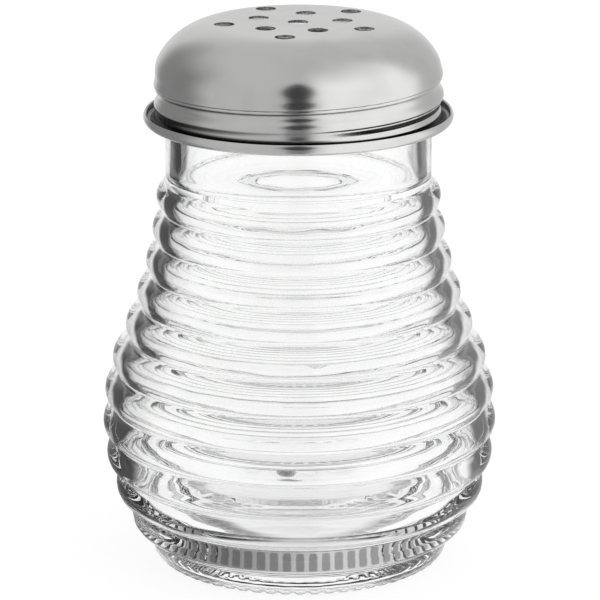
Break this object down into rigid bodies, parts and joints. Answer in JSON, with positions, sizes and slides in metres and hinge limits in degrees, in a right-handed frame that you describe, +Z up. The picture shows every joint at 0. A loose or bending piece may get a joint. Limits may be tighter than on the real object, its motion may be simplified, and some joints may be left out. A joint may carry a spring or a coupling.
{
  "type": "spice shaker",
  "caption": "Ribbed clear glass jar with a plain neck and a perforated domed steel lid that unscrews and lifts off for filling.",
  "frame": {"origin": "centre of the ring that the jar stands on", "axes": "+Z up along the jar's axis, from the foot to the lid; the jar is round, so +X and +Y are only where the lid's hole pattern is counted from"},
  "size_m": [0.0762, 0.0762, 0.1056],
  "materials": {
    "clear_glass": "clear polished pressed glass",
    "satin_steel": "fine satin drawn steel sheet"
  },
  "bodies": {
    "jar": {"glass_jar": "clear_glass"},
    "lid": {"shaker_lid": "satin_steel"}
  },
  "joints": [
    {"name": "lid_lift", "type": "slide", "parent": "jar", "child": "lid", "axis": [0, 0, 1], "range_m": [0, 0.05]}
  ]
}
